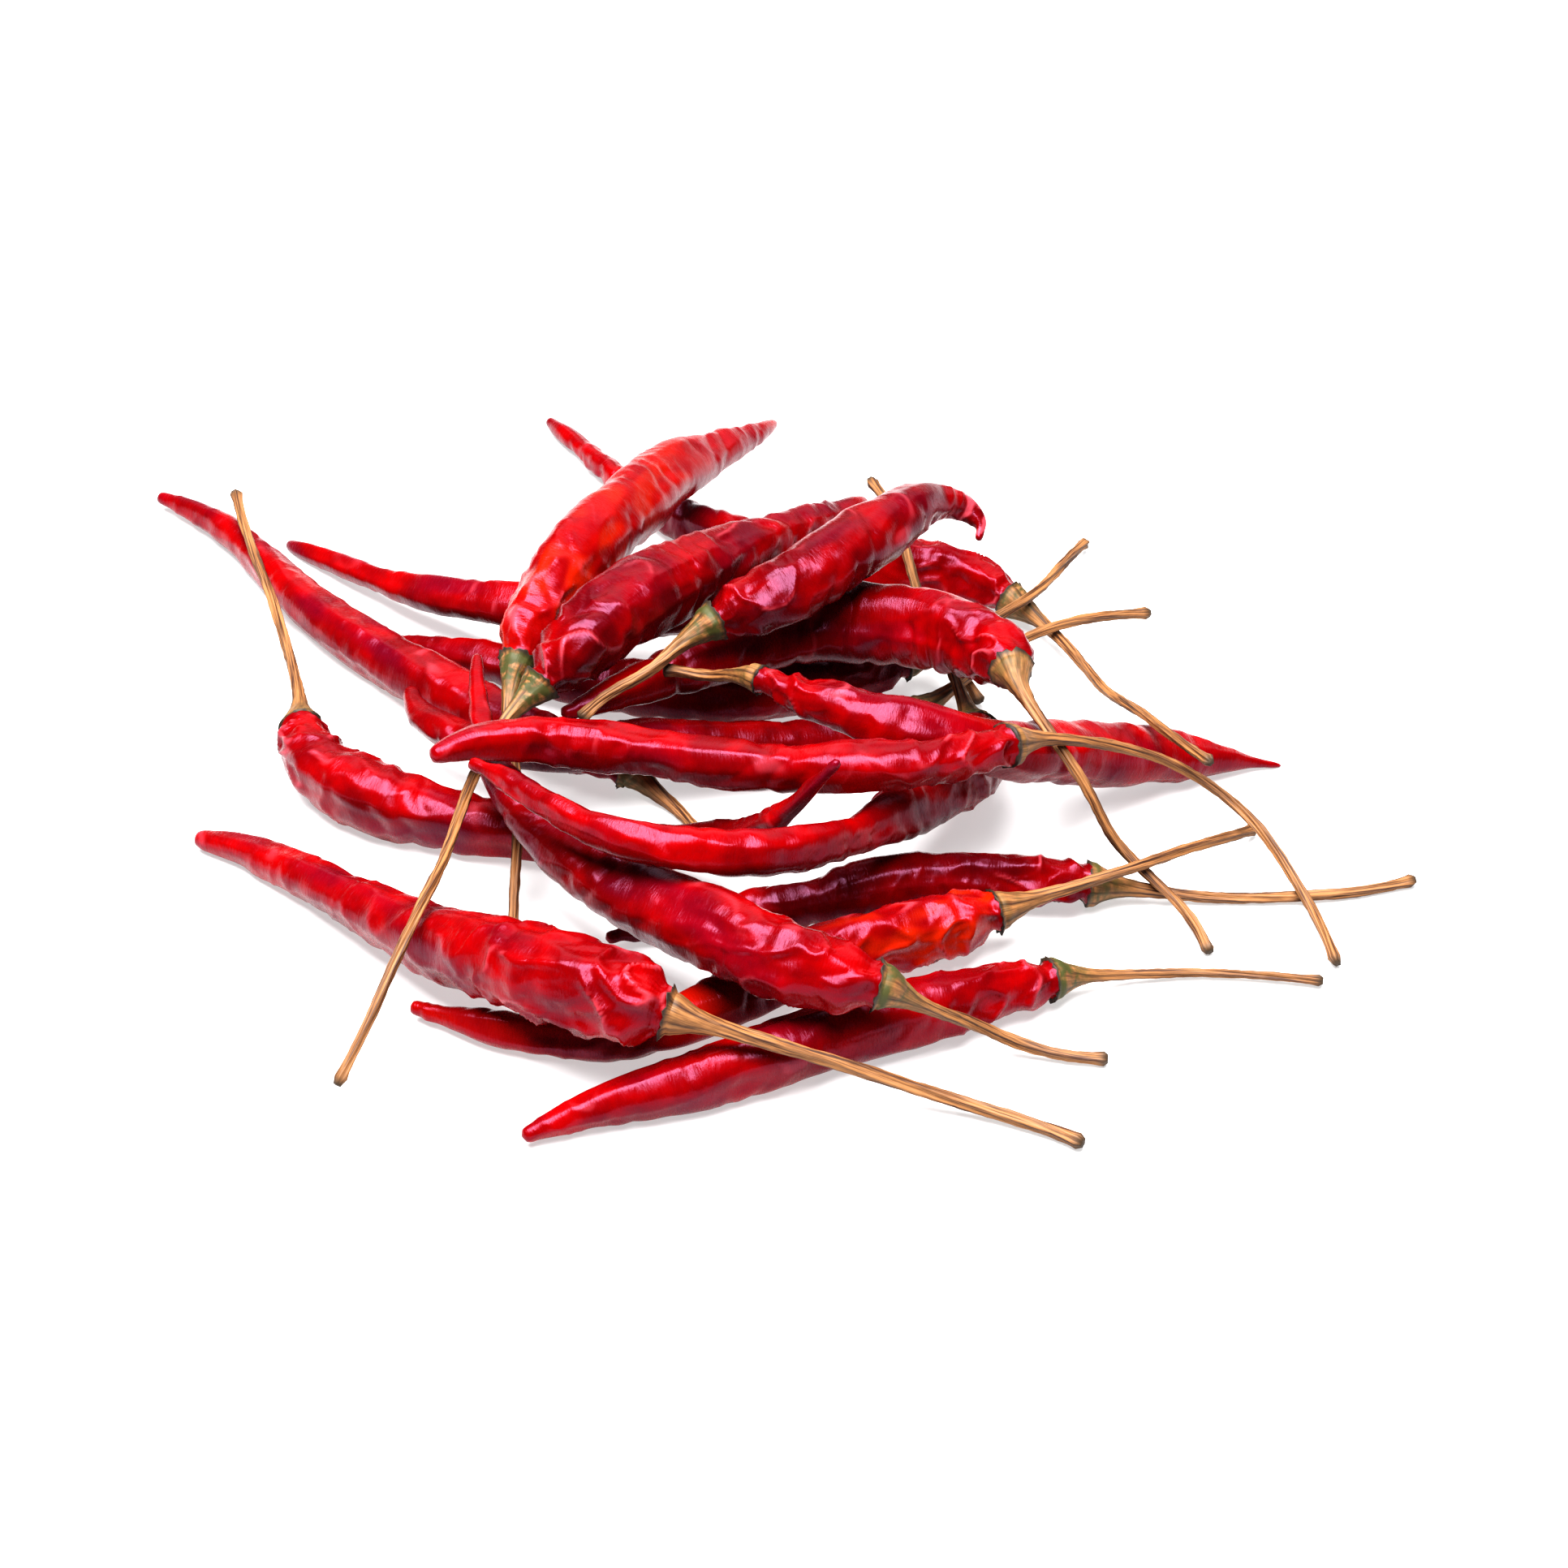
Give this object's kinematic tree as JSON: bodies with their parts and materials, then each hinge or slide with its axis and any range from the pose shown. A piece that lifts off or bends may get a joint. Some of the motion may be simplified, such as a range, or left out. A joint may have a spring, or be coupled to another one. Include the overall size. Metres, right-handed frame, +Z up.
{
  "type": "heap of dried chillies",
  "caption": "Loose heap of long thin dried red chillies, wrinkled curved pods with dry calyxes and stalks, lying across one another.",
  "frame": {"origin": "centre of the heap's footprint, on the surface it lies on", "axes": "+Z up; +X to the right as seen from the front; -Y towards the viewer"},
  "size_m": [0.1794, 0.1652, 0.0332],
  "materials": {
    "red_skin": "glossy wrinkled dried skin, bright red",
    "dark_skin": "glossy wrinkled dried skin, dark crimson",
    "orange_skin": "glossy wrinkled dried skin, orange red",
    "dry_stalk": "dry ribbed straw-coloured calyx and stalk"
  },
  "bodies": {
    "root": {"pod_01": "dark_skin", "stalk_01": "dry_stalk", "pod_02": "red_skin", "stalk_02": "dry_stalk", "pod_03": "red_skin", "stalk_03": "dry_stalk", "pod_04": "dark_skin", "stalk_04": "dry_stalk", "pod_05": "orange_skin", "stalk_05": "dry_stalk", "pod_06": "red_skin", "stalk_06": "dry_stalk", "pod_07": "red_skin", "stalk_07": "dry_stalk", "pod_08": "red_skin", "stalk_08": "dry_stalk", "pod_09": "dark_skin", "stalk_09": "dry_stalk", "pod_10": "orange_skin", "stalk_10": "dry_stalk", "pod_11": "red_skin", "stalk_11": "dry_stalk", "pod_12": "red_skin", "stalk_12": "dry_stalk", "pod_13": "red_skin", "stalk_13": "dry_stalk", "pod_14": "red_skin", "stalk_14": "dry_stalk", "pod_15": "dark_skin", "stalk_15": "dry_stalk", "pod_16": "red_skin", "stalk_16": "dry_stalk", "pod_17": "dark_skin", "stalk_17": "dry_stalk", "pod_18": "red_skin", "stalk_18": "dry_stalk"}
  },
  "joints": []
}
